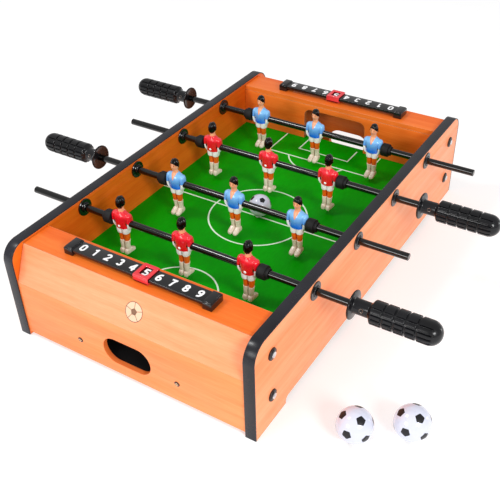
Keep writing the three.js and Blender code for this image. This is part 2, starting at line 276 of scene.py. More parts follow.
# ---- mesh helpers
def link_mesh(name, bm, finishes, smooth_deg=40):
    """A bmesh as an object, smooth except at edges sharper than smooth_deg."""
    bmesh.ops.recalc_face_normals(bm, faces=bm.faces)
    mesh = bpy.data.meshes.new(name)
    bm.to_mesh(mesh)
    bm.free()
    for finish in finishes:
        mesh.materials.append(LOOK[finish])
    mesh.shade_smooth()
    mesh.set_sharp_from_angle(angle=math.radians(smooth_deg))
    made = bpy.data.objects.new(name, mesh)
    scene.collection.objects.link(made)
    return made


def settle(made, body, slot, *nodes):
    """Rides a finished piece on its body, and hides the CAD nodes it stands for. Its slot is not used."""
    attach(made, body)
    if nodes:
        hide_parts(*nodes)


def piece(name, bm, finishes, body, slot, *nodes, smooth_deg=40):
    """A bmesh as a settled piece."""
    settle(link_mesh(name, bm, finishes, smooth_deg), body, slot, *nodes)


def bridge(bm, rings):
    """Skins a row of rings with quads, and with triangles next to a ring of one point."""
    for first, second in zip(rings, rings[1:]):
        for k in range(max(len(first), len(second))):
            corners = [first[k % len(first)], first[(k + 1) % len(first)],
                       second[(k + 1) % len(second)], second[k % len(second)]]
            corners = list(dict.fromkeys(corners))
            if len(corners) > 2:
                bm.faces.new(corners)


def ring_about_x(bm, x, radii):
    """Points around the X axis, one for each radius."""
    turn = TAU / len(radii)
    return [bm.verts.new((x, r * math.cos(turn * k), r * math.sin(turn * k))) for k, r in enumerate(radii)]


AXES = {
    "X": Matrix(((0, 0, 1, 0), (1, 0, 0, 0), (0, 1, 0, 0), (0, 0, 0, 1))),
    "Y": Matrix(((1, 0, 0, 0), (0, 0, -1, 0), (0, 1, 0, 0), (0, 0, 0, 1))),
    "Z": Matrix.Identity(4),
}


def board_mesh(outlines, low, high, axis, bevel):
    """A board from low to high along axis, with rounded arrises. Outlines are its edge and any holes."""
    curve = bpy.data.curves.new("outline", "CURVE")
    curve.dimensions = "2D"
    curve.fill_mode = "BOTH"
    curve.extrude = (high - low) / 2 - bevel
    curve.bevel_depth = bevel
    curve.bevel_resolution = 2
    curve.offset = -bevel
    for outline in outlines:
        spline = curve.splines.new("POLY")
        spline.points.add(len(outline) - 1)
        for point, (a, b) in zip(spline.points, outline):
            point.co = (a, b, 0, 1)
        spline.use_cyclic_u = True
    carrier = bpy.data.objects.new("outline", curve)
    scene.collection.objects.link(carrier)
    bpy.context.view_layer.update()
    mesh = bpy.data.meshes.new_from_object(carrier.evaluated_get(bpy.context.evaluated_depsgraph_get()))
    bpy.data.objects.remove(carrier)
    bpy.data.curves.remove(curve)
    middle = (low + high) / 2 * (-1 if axis == "Y" else 1)
    bm = bmesh.new()
    bm.from_mesh(mesh)
    bpy.data.meshes.remove(mesh)
    bmesh.ops.remove_doubles(bm, verts=bm.verts, dist=1e-6)
    return moved(bm, AXES[axis] @ Matrix.Translation((0, 0, middle)))


def arc(cx, cy, r, start, end, steps=12):
    """Points of an arc, with its angles in quarter turns."""
    angles = [(start + (end - start) * i / steps) * math.pi / 2 for i in range(steps + 1)]
    return [(cx + r * math.cos(a), cy + r * math.sin(a)) for a in angles]


def circle(cx, cy, r, points):
    return arc(cx, cy, r, 0, 4 * (points - 1) / points, points - 1)


def rounded_rectangle(x0, x1, y0, y1, r, steps=10):
    return (arc(x1 - r, y1 - r, r, 0, 1, steps) + arc(x0 + r, y1 - r, r, 1, 2, steps)
            + arc(x0 + r, y0 + r, r, 2, 3, steps) + arc(x1 - r, y0 + r, r, 3, 4, steps))


def ribbon(points, width, closed=False):
    """The outlines of a line of even width: one for an open line, two for a closed one."""
    count = len(points)
    left, right = [], []
    for i, here in enumerate(points):
        ways = []
        if i or closed:
            ways.append((Vector(here) - Vector(points[i - 1])).normalized())
        if i < count - 1 or closed:
            ways.append((Vector(points[(i + 1) % count]) - Vector(here)).normalized())
        first, last = Vector((-ways[0].y, ways[0].x)), Vector((-ways[-1].y, ways[-1].x))
        side = (first + last) / (1 + first.dot(last)) * width / 2
        left.append(tuple(Vector(here) + side))
        right.append(tuple(Vector(here) - side))
    return [left, right] if closed else [left + right[::-1]]


def turned(profile, sides=64, across=1.0, along=1.0):
    """A closed profile of (radius, x) pairs, in units of across and along, turned about the X axis."""
    bm = bmesh.new()
    bridge(bm, [ring_about_x(bm, x * along, [radius * across] * (sides if radius else 1))
                for radius, x in profile])
    bmesh.ops.remove_doubles(bm, verts=bm.verts, dist=1e-7)
    return bm


def moved(bm, matrix):
    bmesh.ops.transform(bm, matrix=matrix, verts=bm.verts)
    return bm


def shift(bm, x, y, z, half_turn=False):
    """A bmesh moved by x, y and z, after half a turn about Z if asked."""
    turn = Matrix.Rotation(math.pi if half_turn else 0, 4, "Z")
    return moved(bm, Matrix.Translation((x, y, z)) @ turn)


def merge(parts):
    """Several bmeshes, or (bmesh, material index) pairs, as one bmesh."""
    whole = bmesh.new()
    for part in parts:
        part, index = part if isinstance(part, tuple) else (part, 0)
        mesh = bpy.data.meshes.new("part")
        for face in part.faces:
            face.material_index = index
        bmesh.ops.recalc_face_normals(part, faces=part.faces)
        part.to_mesh(mesh)
        part.free()
        whole.from_mesh(mesh)
        bpy.data.meshes.remove(mesh)
    return whole


def rounded_block(low, high, radius, segments=3):
    bm = bmesh.new()
    size = Vector(high) - Vector(low)
    bmesh.ops.create_cube(bm, size=1)
    centre = (Vector(low) + Vector(high)) / 2
    moved(bm, Matrix.Translation(centre) @ Matrix.Diagonal((*size, 1)))
    bmesh.ops.bevel(bm, geom=bm.edges, offset=radius, segments=segments, affect="EDGES", profile=0.5)
    return bm


def catmull(rows, steps):
    """Rows of numbers, smoothed through every row with extra ones in between."""
    dense = []
    for i in range(len(rows) - 1):
        around = (rows[max(i - 1, 0)], rows[i], rows[i + 1], rows[min(i + 2, len(rows) - 1)])
        for step in range(steps):
            t = step / steps
            dense.append([0.5 * (2 * b + (c - a) * t + (2 * a - 5 * b + 4 * c - d) * t * t
                                 + (3 * b - a - 3 * c + d) * t ** 3)
                          for a, b, c, d in zip(*around)])
    return dense + [list(rows[-1])]


def loft(rows, upright=True, sides=28, steps=4):
    """A closed skin through rings, as rows (place, cx, cy, half a, half b, squareness) in millimetres.
    Upright rings lie level at their place along Z; the others stand at their place along Y."""
    bm = bmesh.new()
    rings = []
    for place, cx, cy, a, b, square in catmull(rows, steps):
        ring = []
        for k in range(sides):
            c, s = math.cos(TAU * k / sides), math.sin(TAU * k / sides)
            u = cx + a * math.copysign(abs(c) ** (2 / square), c)
            v = cy + b * math.copysign(abs(s) ** (2 / square), s)
            ring.append(bm.verts.new(Vector((u, v, place) if upright else (u, place, v)) * MM))
        rings.append(ring)
    bridge(bm, rings)
    bm.faces.new(rings[0])
    bm.faces.new(rings[-1])
    return bm


# ---- finishes of the pieces
def make_finishes():
    return {
        "floor": floor_finish(),
        "panel": veneer("veneer_panel", "#feab79", "#f68349", "Y"),
        # painted shade: a deeper copy of the panel veneer, for the panels' inward faces
        "panel_inner": veneer("veneer_panel_inner", "#f47d20", "#d65608", "Y"),
        "shell": veneer("veneer_shell", "#feac80", "#f6844b", "X"),
        "end": veneer("veneer_end", "#fe9f62", "#f67a39", "X"),
        "cut_edge": veneer("cut_edge", "#ee8040", "#cf5c1e", "X"),
        # painted shade: a deeper copy of the veneer, for the top boards, the goal walls and the goal boxes'
        # insides
        "inner": veneer("veneer_inner", "#fb8433", "#e85d0a", "X"),
        "raw_edge": veneer("raw_edge", "#c56a2c", "#8f4516", "Z"),
        "band": plastic("band_pvc", "#121117", "#2c2b34", (0.2, 0.32), 500.0, 0.00006, spec=0.35),
        "black": plastic("black_plastic", "#080809", "#1c1c20", (0.16, 0.28), coat=0.3, spec=0.4),
        # painted shade: a flat black put on the goal walls' backs and the ball trays, where the box lies in
        # shade
        "box_shade_black": plastic("painted_shade_black_finish", "#060607", "#141416", (0.6, 0.75), spec=0.15),
        "grip": plastic("grip_plastic", "#070709", "#1d1d22", (0.2, 0.32), 700.0, 0.00005, 0.2, spec=0.25),
        "rubber": plastic("rubber", "#080809", "#1b1b1d", (0.5, 0.7), 600.0, 0.0001, spec=0.3),
        "steel": plastic("browned_screw", "#57504c", "#8f8178", (0.1, 0.18), metallic=1),
        # painted highlight: a bright steel put in the side bolts' domes so that they show a light spot
        "highlight_bright_steel": plastic("highlight_bright_steel", "#d6d2d2", "#f2eeee", (0.12, 0.22), metallic=1),
        "screw": plastic("bronzed_screw", "#e0bf94", "#f4dcb8", (0.2, 0.3), metallic=1),
        "bolt_rim": plastic("bolt_rim", "#2c120a", "#4a2418", (0.25, 0.35), spec=0.35),
        "red": plastic("red_slider", "#e01126", "#f45a5f", (0.2, 0.32), coat=0.4),
        "ink": plastic("white_ink", "#fdfdfd", "#efeff2", (0.4, 0.5)),
        "line": plastic("line_paint", "#eafbe8", "#cdebc8", (0.45, 0.6), spec=0.2),
        "ball_white": plastic("ball_white", "#d6d9ea", "#c6c9dc", (0.12, 0.22), 500.0, 0.00001, 0.5),
        "ball_black": plastic("ball_black", "#131216", "#2b2a30", (0.3, 0.4), 500.0, 0.00002, spec=0.3),
        "emblem_pale": plastic("emblem_pale", "#f4cbac", "#eebf9c", (0.4, 0.5)),
        "emblem_line": plastic("emblem_line", "#8d6448", "#74503a", (0.4, 0.5)),
        "enamel": enamel("rod_enamel"),
        "turf": turf("turf"),
        "shirt_red": shirt_paint("shirt_red", "#f2192d", "#e8061a", "#a3000d"),
        "shirt_blue": shirt_paint("shirt_blue", "#7fbff5", "#1e6ff0", "#3384e8"),
        "skin": figure_paint("skin", "#fbae83", "#dd7d50"),
        "hair": figure_paint("hair", "#050404", "#000000", (0.12, 0.24), 0.06, spec=0.15),
        "white": figure_paint("kit_white", "#fbfafa", "#cfc6be"),
        "orange": figure_paint("knee_orange", "#ef6414", "#b54206"),
        "cream": figure_paint("sock_cream", "#ecdfcc", "#b89d80"),
    }


LOOK = make_finishes()


# ---- side panels and edge bands
BAND_THICK = 1.2 * MM
BAND_PROUD = 0.12 * MM
CORNER_R = 20 * MM
FOOT_LENGTH = 57 * MM
NOTCH = 8 * MM
NOTCH_R = 5 * MM
PANEL_BORE_R = 6.8 * MM
ARRIS = 0.35 * MM
FINE_ARRIS = 0.3 * MM
FACING = 0.5
RODS = [1, 2, 3, 4]


def rod_axis(n):
    low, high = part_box(f"rod_{n}")
    return (low + high) / 2


def panel_outline(low, high, inset, bottom):
    y0, y1, z1, r = low.y + inset, high.y - inset, high.z - inset, CORNER_R - inset
    corners = arc(y1 - r, z1 - r, r, 0, 1, 20) + arc(y0 + r, z1 - r, r, 1, 2, 20)
    return [(y1, bottom)] + corners + [(y0, bottom)]


def build_panels():
    for side, outward in (("left", -1), ("right", 1)):
        low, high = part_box(f"edge_band_{side}")
        board_low, board_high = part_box(f"side_panel_{side}")
        foot = (high.y - low.y) / 2 - FOOT_LENGTH
        outline = panel_outline(low, high, BAND_THICK, 0)
        outline += [(-foot, 0)] + arc(NOTCH_R - foot, NOTCH - NOTCH_R, NOTCH_R, 2, 1, 8)
        outline += arc(foot - NOTCH_R, NOTCH - NOTCH_R, NOTCH_R, 1, 0, 8) + [(foot, 0)]
        bores = [circle(rod_axis(n).y, rod_axis(n).z, PANEL_BORE_R, 48) for n in RODS]
        bm = board_mesh([outline] + bores, board_low.x, board_high.x, "X", ARRIS)
        for face in bm.faces:
            facing = face.normal.x * outward
            face.material_index = 0 if facing > FACING else 1 if facing < -FACING else 2
        # the inward faces take the deeper copy of the veneer: painted shade
        paints = ("panel", "panel_inner", "raw_edge")
        piece(f"panel_{side}", bm, paints, "root", "panel_board", f"side_panel_{side}")
        skin = panel_outline(low, high, 0, low.z)
        inner = panel_outline(low, high, BAND_THICK, low.z)
        bm = board_mesh([skin + inner[::-1]], low.x - BAND_PROUD, high.x + BAND_PROUD, "X", FINE_ARRIS)
        piece(f"band_{side}", bm, ("band",), "root", "edge_band", f"edge_band_{side}")


# ---- goal boxes
MOUTH = {"half": 45 * MM, "top": 100 * MM, "r": 9 * MM}
SLOT = {"half": 30 * MM, "low": 18.5 * MM, "high": 51.5 * MM, "r": 16 * MM}
SHELL_BOARDS = (("top_board", "inner", "inner_board"), ("sloped_board", "shell", "panel_board"))
HIDDEN = 0.6


def upright_board(low, high, hollow, holes, inward):
    """A board across Y that fills its box but for hollow, which is cut from its foot, and its holes.
    Its faces get the first finish, its cut edges the second, and the side turned inward the third."""
    outline = [(high.x, low.z), (high.x, high.z), (low.x, high.z), (low.x, low.z)] + hollow
    bm = board_mesh([outline] + holes, low.y, high.y, "Y", ARRIS)
    for face in bm.faces:
        facing = face.normal.y
        face.material_index = 1 if abs(facing) < FACING else 2 if facing * inward > FACING else 0
    return bm


def section(node):
    """The outline across X of a CAD board whose section is convex, as (y, z) corners in order."""
    corners = {(round(v.co.y, 6), round(v.co.z, 6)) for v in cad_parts[node].data.vertices}
    middle = sum((Vector(c) for c in corners), Vector((0, 0))) / len(corners)
    return sorted(corners, key=lambda c: math.atan2(c[1] - middle.y, c[0] - middle.x))


def build_goal_boxes():
    half, top, r = MOUTH["half"], MOUTH["top"], MOUTH["r"]
    slot = rounded_rectangle(-SLOT["half"], SLOT["half"], SLOT["low"], SLOT["high"], SLOT["r"], 14)
    for end, sign in (("near", -1), ("far", 1)):
        low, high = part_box(f"goal_wall_{end}")
        mouth = [(-half, low.z)] + arc(r - half, top - r, r, 2, 1) + arc(half - r, top - r, r, 1, 0)
        bm = upright_board(low, high, mouth + [(half, low.z)], [], sign)
        # the mouth wall: the deeper veneer on its faces and black on its inward side, both painted shade
        paints = ("inner", "raw_edge", "box_shade_black")
        piece(f"mouth_wall_{end}", bm, paints, "root", "inner_board", f"goal_wall_{end}")

        bm = upright_board(*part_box(f"end_board_{end}"), [], [slot], -sign)
        # the slot board's inward side takes the deeper veneer: painted shade
        paints = ("end", "cut_edge", "inner")
        piece(f"slot_board_{end}", bm, paints, "root", "panel_board", f"end_board_{end}")

        for name, finish, slot_name in SHELL_BOARDS:
            node = f"{name}_{end}"
            low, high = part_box(node)
            bm = board_mesh([section(node)], low.x, high.x, "X", FINE_ARRIS)
            for face in bm.faces:
                outward = face.normal.y * sign if name == "sloped_board" else 0
                inside = min(face.normal.z, outward) < -HIDDEN
                face.material_index = 1 if abs(face.normal.x) > FACING else 2 if inside else 0
            # the top boards, and the boards' inside faces, take the deeper veneer: painted shade
            paints = (finish, "raw_edge", "inner")
            piece(f"{name}_{end}_veneered", bm, paints, "root", slot_name, node)
        # the ball tray is black: painted shade inside the box
        dress(f"ball_tray_{end}", "box_shade_black", ARRIS)


def dress(node, finish, bevel):
    """A CAD node whose shape is right: its finish, and lightly rounded arrises."""
    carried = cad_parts[node]
    carried.data.materials.clear()
    carried.data.materials.append(LOOK[finish])
    rounding = carried.modifiers.new("arris", "BEVEL")
    rounding.width = bevel
    rounding.segments = 2
    rounding.limit_method = "ANGLE"
    rounding.angle_limit = math.radians(20)
    rounding.harden_normals = True


# ---- pitch and its markings
LINE = 1.9 * MM
PAINT = 0.1 * MM
TURF_ARRIS, PAINT_ARRIS = 0.2 * MM, 0.02 * MM
FIELD = {"circle": 59.5 * MM, "box_x": 71 * MM, "box_y": 147 * MM, "area_x": 36.5 * MM, "area_y": 169 * MM,
         "arc_y": 167 * MM, "arc_r": 45 * MM, "spot": 2.6 * MM}


def build_pitch():
    dress("pitch_board", "turf", TURF_ARRIS)
    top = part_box("pitch_board")[1].z
    goal_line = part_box("goal_wall_far")[0].y
    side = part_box("side_panel_right")[0].x
    lines = [ribbon([(-side, 0), (side, 0)], LINE), ribbon(circle(0, 0, FIELD["circle"], 96), LINE, True),
             [circle(0, 0, FIELD["spot"], 32)]]
    reach = math.acos((FIELD["arc_y"] - FIELD["box_y"]) / FIELD["arc_r"]) / (math.pi / 2)
    for sign in (-1, 1):
        for half, front in ((FIELD["box_x"], FIELD["box_y"]), (FIELD["area_x"], FIELD["area_y"])):
            corners = [(half, goal_line), (half, front), (-half, front), (-half, goal_line)]
            lines.append(ribbon([(x, y * sign) for x, y in corners], LINE))
        bow = arc(0, sign * FIELD["arc_y"], FIELD["arc_r"], -sign - reach, reach - sign, 40)
        lines.append(ribbon(bow, LINE))
    parts = [board_mesh(line, top - PAINT, top + PAINT * (1 + i / 20), "Z", PAINT_ARRIS)
             for i, line in enumerate(lines)]  # each a little higher, so that no tops overlap in one plane
    piece("pitch_markings", merge(parts), ("line",), "root", "pitch")


# ---- rods, bushings, bumpers and handles
BORE_R = 4.2 * MM
ROD_CHAMFER = 0.5 * MM
FLANGE_R, BARREL_R, HUB_R = 10.2 * MM, 6.5 * MM, 6 * MM
GRIP = {  # millimetres from the hand stop, and degrees around the grip
    "disc_r": 15, "disc": 2.4, "neck_r": 7.75, "neck_end": 18.4, "shoulder": 22.2, "r": 12.2,
    "core_end": 17.6, "skin_from": 17, "screw_at": 12, "ring": 11.2, "rings": 5, "pad": 35, "rib": 290 / 11,
    "depth": 1.7, "groove": 0.6, "flank": 0.6, "blocks_from": 19.9, "fade_in": 2, "blocks_short": 6.5,
    "fade_out": 2.5, "sides": 160, "step": 0.4,
}
BUMPER = {"collar_r": 5.8 * MM, "collar": 3 * MM, "round": 0.6 * MM}
BUSH_LIP = 1.8 * MM
SET_SCREW = [(0, 7.3), (0.9, 7.3), (1.3, 7.6), (1.9, 7.95), (2.2, 7.9), (2.3, 7.5), (2.3, 6.8), (0, 6.8)]
SCREW_TURN = math.radians(162)


def smooth(value):
    t = min(max(value, 0.0), 1.0)
    return t * t * (3 - 2 * t)


def build_bushings():
    for n in RODS:
        axis = rod_axis(n)
        for side, outward in (("left", -1), ("right", 1)):
            low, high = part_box(f"bushing_{n}_{side}")
            near, far = sorted((abs(low.x), abs(high.x)))
            inner_face, outer_face = sorted(abs(c.x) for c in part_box(f"side_panel_{side}"))
            lip = inner_face - BUSH_LIP
            bm = turned([
                (BORE_R, near), (HUB_R - 0.9 * MM, near), (HUB_R - 0.3 * MM, near + 0.5 * MM),
                (HUB_R, lip - 0.4 * MM), (HUB_R + 0.4 * MM, lip), (FLANGE_R - 0.5 * MM, lip),
                (FLANGE_R, lip + 0.5 * MM), (FLANGE_R, inner_face), (BARREL_R, inner_face),
                (BARREL_R, outer_face), (FLANGE_R, outer_face), (FLANGE_R, outer_face + 0.7 * MM),
                (FLANGE_R - 0.5 * MM, outer_face + 1.1 * MM), (HUB_R + 0.7 * MM, outer_face + 1.3 * MM),
                (HUB_R, outer_face + 1.9 * MM), (HUB_R - 0.2 * MM, far - 0.7 * MM), (HUB_R - 0.8 * MM, far),
                (BORE_R + 0.5 * MM, far), (BORE_R, far - 0.5 * MM), (BORE_R, near)])
            bm = shift(bm, 0, axis.y, axis.z, outward < 0)
            piece(f"bush_{n}_{side}", bm, ("black",), "root", "black_plastic", f"bushing_{n}_{side}",
                  smooth_deg=30)


def build_rod(n):
    low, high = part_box(f"rod_{n}")
    axis = rod_axis(n)
    r = (high.z - low.z) / 2
    bm = turned([(0, low.x), (r - ROD_CHAMFER, low.x), (r, low.x + ROD_CHAMFER), (r, high.x - ROD_CHAMFER),
                 (r - ROD_CHAMFER, high.x), (0, high.x)])
    bm = shift(bm, 0, axis.y, axis.z)
    piece(f"bar_{n}", bm, ("enamel",), f"rod_{n}", "rod_steel", f"rod_{n}", smooth_deg=30)


def build_bumpers(n):
    axis = rod_axis(n)
    handle_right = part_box(f"handle_{n}")[0].x > 0
    collar, c = BUMPER["collar_r"], BUMPER["round"]
    for end in ("inner", "outer"):
        low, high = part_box(f"bumper_{n}_{end}")
        faces_left = (end == "inner") != handle_right
        r, length = (high.z - low.z) / 2, high.x - low.x
        body = length - BUMPER["collar"]
        bm = turned([
            (BORE_R, 0), (r - c, 0), (r - 0.2 * MM, 0.2 * MM), (r, c), (r, body - c),
            (r - 0.2 * MM, body - 0.2 * MM), (r - c, body), (collar + 0.3 * MM, body),
            (collar, body + 0.3 * MM), (collar, length - 0.4 * MM), (collar - 0.4 * MM, length),
            (BORE_R, length), (BORE_R, 0)])
        bm = shift(bm, high.x if faces_left else low.x, axis.y, axis.z, faces_left)
        piece(f"stop_{n}_{end}", bm, ("rubber",), f"rod_{n}_bumpers", "rubber", f"bumper_{n}_{end}",
              smooth_deg=30)


def grip_radius(x, turn, total):
    """The grip's surface at x millimetres from the hand stop, at turn of a full turn."""
    g = GRIP
    dome = total - g["r"]
    if x > dome:
        base = math.sqrt(max(g["r"] ** 2 - (x - dome) ** 2, 0))
    else:
        rise = smooth((x - g["neck_end"]) / (g["shoulder"] - g["neck_end"]))
        base = g["neck_r"] + (g["r"] - g["neck_r"]) * rise
    along = x - g["shoulder"]
    ring = round(along / g["ring"])
    off_ring = abs(along - ring * g["ring"]) if 1 <= ring < g["rings"] else g["ring"]
    angle = abs((turn + 0.25) % 1 - 0.5) * 360
    past = angle - g["pad"]
    off_rib = -past if past < 0 else min(past % g["rib"], -past % g["rib"])
    off_rib *= math.radians(g["r"])
    raised = min(smooth((off_ring - g["groove"]) / g["flank"]), smooth((off_rib - g["groove"]) / g["flank"]))
    blocks = smooth((x - g["blocks_from"]) / g["fade_in"])
    blocks *= smooth((total - g["blocks_short"] - x) / g["fade_out"])
    return base - g["depth"] * (1 - raised) * blocks


def build_handle(n):
    g = GRIP
    low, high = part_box(f"handle_{n}")
    axis = rod_axis(n)
    leftward = high.x < 0
    total = (high.x - low.x) / MM
    skin = bmesh.new()
    rings = []
    for x in (row * g["step"] for row in range(int(g["skin_from"] / g["step"]), int(total / g["step"]))):
        radii = [grip_radius(x, k / g["sides"], total) * MM for k in range(g["sides"])]
        rings.append(ring_about_x(skin, x * MM, radii))
    bridge(skin, rings + [[skin.verts.new((total * MM, 0, 0))]])
    skin.faces.new(rings[0][::-1])
    r, d, neck, bore = g["disc_r"], g["disc"], g["neck_r"], BORE_R / MM
    stop = turned([
        (bore, 1.4), (neck, 1.1), (r - 2.2, 0.6), (r - 1.2, 0), (r - 0.5, 0.1), (r, 0.7), (r, d - 0.7),
        (r - 0.6, d - 0.2), (r - 1.6, d), (neck + 1.6, d + 0.2), (neck + 0.5, d + 0.7), (neck, d + 1.8),
        (neck, g["core_end"]), (bore, g["core_end"]), (bore, 1.4)], 96, MM, MM)
    seat = Matrix.Rotation(math.pi - SCREW_TURN if leftward else SCREW_TURN, 4, "X")
    seat = Matrix.Translation((g["screw_at"] * MM, 0, 0)) @ seat @ Matrix.Rotation(math.pi / 2, 4, "Z")
    screw = moved(turned(SET_SCREW, 24, MM, MM), seat)
    bm = shift(merge([skin, stop, (screw, 1)]), high.x if leftward else low.x, axis.y, axis.z, leftward)
    paints = ("grip", "steel")
    piece(f"grip_{n}", bm, paints, f"rod_{n}", "grip", f"handle_{n}", smooth_deg=50)


# ---- player figures, in millimetres about the rod
HEAD_AT = Vector((0, 0.3, 23.4))
HEAD_HALF = Vector((4.6, 5.3, 7.5))
HEAD_BUMPS = {  # name: (height, longitude from the front, latitude, width)
    "nose": (0.2, 0, -0.12, 0.17), "nose_foot": (0.1, 0, -0.3, 0.13), "brow": (0.05, 0, 0.26, 0.3),
    "lips": (0.03, 0, -0.62, 0.2), "mouth": (-0.05, 0, -0.5, 0.11), "chin": (0.07, 0, -0.95, 0.3),
    "ears": (0.14, math.pi / 2, -0.05, 0.16), "eye_sockets": (-0.07, 0.42, 0.06, 0.2),
}
CROWN, JAW = 0.66, 0.82
TAPER = {"by": 0.2, "from": 0.15, "over": 0.8}
HAIRLINE = {"slope": 0.95, "drop": 1.2, "bow": 0.02, "parting": 0.25, "front": 2, "nape_half": 3.1}
QUIFF = (0.55, 0, 0.72, 0.45)
HAIR_OVER, HAIR_UNDER = 0.42, -0.8
SKIN, HAIR, SHIRT, WHITE, ORANGE, CREAM = range(6)


def haired(point):
    """Hair covers what lies above a line from the forehead down to the ears, and runs down the nape."""
    h = HAIRLINE
    line = h["slope"] * point.y - h["drop"] - h["bow"] * point.x ** 2
    line += h["parting"] * point.x * (point.y > h["front"])
    return point.z > line or (point.y < -h["front"] and abs(point.x) < h["nape_half"])


def head_point(u, v, hair):
    """A point of the head, or of the hair over it, at longitude u and latitude v in radians."""
    aside = abs((u + math.pi / 2) % TAU - math.pi)

    def bump(height, a, b, width):
        return height * math.exp(-((aside - a) ** 2 + (v - b) ** 2) / width ** 2)

    shape = 1 + sum(bump(*values) for values in HEAD_BUMPS.values())
    shape *= abs(math.cos(v)) ** (CROWN if v > 0 else JAW)
    shape *= 1 - TAPER["by"] * smooth((-math.sin(v) - TAPER["from"]) / TAPER["over"])
    point = Vector((HEAD_HALF.x * math.cos(u) * shape, HEAD_HALF.y * math.sin(u) * shape,
                    HEAD_HALF.z * math.sin(v)))
    if hair:
        strands = 0.15 * math.cos(2.6 * point.x + math.sin(0.9 * point.y))
        lift = HAIR_OVER + bump(*QUIFF) + strands if haired(point) else HAIR_UNDER
        point += point.normalized() * lift
    return (point + HEAD_AT) * MM


def head_mesh(hair=False, columns=72, rows=44):
    bm = bmesh.new()
    bridge(bm, [[bm.verts.new(head_point(TAU * k / columns, (j / rows - 0.5) * math.pi, hair))
                 for k in range(columns if 0 < j < rows else 1)] for j in range(rows + 1)])
    return bm


# The upright skins as (paint, mirrored, rows), facing +Y.
FIGURE = [
    (SKIN, False, [(10, 0, -0.2, 4.2, 4.0, 2), (13, 0, -0.1, 3.6, 3.6, 2), (16, 0, 0, 3.2, 3.4, 2),
                   (19, 0, 0.2, 3.1, 3.3, 2)]),
    (SKIN, False, [(4.4, 0, 6.5, 0.3, 0.5, 2), (7, 0, 6.05, 1.6, 1.1, 2), (10, 0, 4.4, 2.9, 1.7, 2),
                   (12.6, 0, 2.6, 3.4, 2.1, 2), (14, 0, 2.0, 2.9, 2.0, 2)]),
    (SHIRT, False, [(-7.2, 0, 0, 7.3, 5.2, 2.4), (-6.9, 0, 0, 8.0, 5.9, 2.4), (-6.2, 0, 0, 8.1, 6.0, 2.4),
                    (-3.5, 0, 0.1, 7.9, 6.3, 2.4), (0, 0, 0.1, 8.3, 6.7, 2.4), (4, 0, 0.2, 9.2, 7.1, 2.4),
                    (7.5, 0, 0, 10.0, 6.9, 2.3), (10, 0, -0.2, 9.4, 6.0, 2.2),
                    (11.8, 0, -0.3, 7.0, 5.0, 2.1), (13.2, 0, -0.2, 4.6, 4.3, 2),
                    (13.6, 0, -0.2, 3.6, 3.6, 2)]),
    (SHIRT, False, [(11.9, 0, -0.5, 4.7, 4.4, 2), (12.6, 0, -0.5, 4.9, 4.6, 2),
                    (13.5, 0, -0.45, 4.4, 4.2, 2), (13.9, 0, -0.4, 3.8, 3.8, 2),
                    (14, 0, -0.4, 3.1, 3.1, 2)]),
    (SHIRT, True, [(11.3, 8.0, -0.2, 1.6, 2.4, 2), (10.2, 8.8, -0.1, 2.8, 3.8, 2),
                   (8, 9.3, 0, 3.1, 4.5, 2.1), (4.5, 9.6, 0.1, 2.85, 4.9, 2.2),
                   (1.6, 9.9, 0.2, 2.55, 5.0, 2.2), (0.8, 9.9, 0.2, 2.3, 4.7, 2.2),
                   (0.6, 9.6, 0.2, 1.6, 3.6, 2.2)]),
    (WHITE, True, [(2.4, 9.7, 0.2, 1.9, 4.2, 2.2), (1.0, 9.95, 0.3, 2.35, 4.75, 2.2),
                   (-3, 9.8, 0.4, 2.2, 4.7, 2.2), (-6, 9.0, 0.5, 2.0, 4.0, 2.1),
                   (-8, 8.1, 0.5, 1.6, 3.0, 2), (-9, 7.6, 0.5, 0.9, 1.6, 2)]),
    (WHITE, True, [(-14.4, 3.3, 0, 3.3, 4.3, 2.2), (-14.1, 3.4, 0, 3.9, 4.9, 2.2),
                   (-13, 3.5, 0, 4.1, 5.2, 2.2), (-10, 3.7, 0, 4.3, 5.3, 2.3),
                   (-6.5, 3.8, 0, 4.2, 5.2, 2.3)]),
    (ORANGE, True, [(-26, 3.1, -0.1, 2.7, 3.3, 2), (-22, 3.15, 0, 2.9, 3.6, 2.1),
                    (-18, 3.2, 0.2, 3.1, 3.9, 2.1), (-12.5, 3.4, 0, 3.3, 4.2, 2.1)]),
    (CREAM, True, [(-38, 3.1, -1.0, 2.6, 3.0, 2), (-35.5, 3.05, -0.9, 2.6, 3.0, 2),
                   (-31, 3, -0.7, 2.8, 3.4, 2), (-27, 3.05, -0.4, 3.0, 3.7, 2),
                   (-25.3, 3.1, -0.1, 3.15, 3.9, 2.1), (-24.4, 3.1, 0, 3.15, 3.9, 2.1),
                   (-24.1, 3.1, 0, 2.8, 3.5, 2.1)]),
]
BOOT = [(-5.4, 3.1, -38.8, 1.7, 2.2, 2.4), (-4.6, 3.1, -38.7, 2.6, 3.3, 2.6),
        (-2, 3.15, -38.1, 3.0, 4.0, 2.6), (1.5, 3.3, -38.1, 3.15, 4.0, 2.6),
        (4.5, 3.4, -39.1, 3.2, 3.0, 2.6), (7, 3.4, -39.8, 3.0, 2.3, 2.6), (8.7, 3.3, -40.2, 2.3, 1.8, 2.5),
        (9.3, 3.3, -40.4, 1.4, 1.2, 2.2)]
# (longitude from the front, latitude, half sizes)
EYE = (0.4, 0.04, (0.5, 0.22, 0.34))
BROW = (0.42, 0.2, (0.8, 0.25, 0.16))
STUD = [(0, 8), (0.9, 7.9), (1.5, 7.4), (1.8, 6.6), (1.8, 5), (0, 5)]
STUD_AT = Vector((-0.6, 0.9, -3.4))


